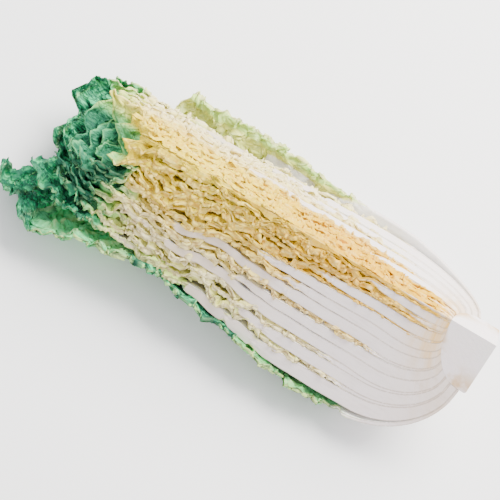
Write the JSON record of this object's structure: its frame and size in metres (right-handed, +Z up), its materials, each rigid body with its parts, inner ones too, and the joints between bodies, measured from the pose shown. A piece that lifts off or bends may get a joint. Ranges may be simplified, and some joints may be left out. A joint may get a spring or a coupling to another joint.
{
  "type": "quartered napa cabbage",
  "caption": "Napa cabbage quarter cut lengthwise through the stem, nested leaves round a yellow heart, lying on its round outside with both cut faces up.",
  "frame": {"origin": "on the flat that the quarter rests on, straight below the edge between its two cut faces and near its balance point", "axes": "+X runs along the head towards the cut end of the stem, +Z is up and -Y is the side of the wide front cut face"},
  "size_m": [0.3018, 0.1356, 0.082],
  "materials": {
    "stem_white": "moist, cut",
    "wrapper_green": "blistered leaf, light sheen",
    "head_pale": "moist white ribs and pale crinkled blades",
    "heart_yellow": "crinkled yellow blades"
  },
  "bodies": {
    "root": {"stem_butt": "stem_white", "wrapper_leaf_01": "wrapper_green", "wrapper_leaf_02": "wrapper_green", "wrapper_leaf_03": "wrapper_green", "head_leaf_04": "head_pale", "head_leaf_05": "head_pale", "head_leaf_06": "head_pale", "head_leaf_07": "head_pale", "head_leaf_08": "head_pale", "head_leaf_09": "head_pale", "head_leaf_10": "head_pale", "heart_leaf_11": "heart_yellow", "heart_leaf_12": "heart_yellow", "heart_leaf_13": "heart_yellow", "heart_leaf_14": "heart_yellow", "heart_leaf_15": "heart_yellow", "heart_leaf_16": "heart_yellow", "heart_leaf_17": "heart_yellow", "heart_bud": "heart_yellow"}
  },
  "joints": []
}
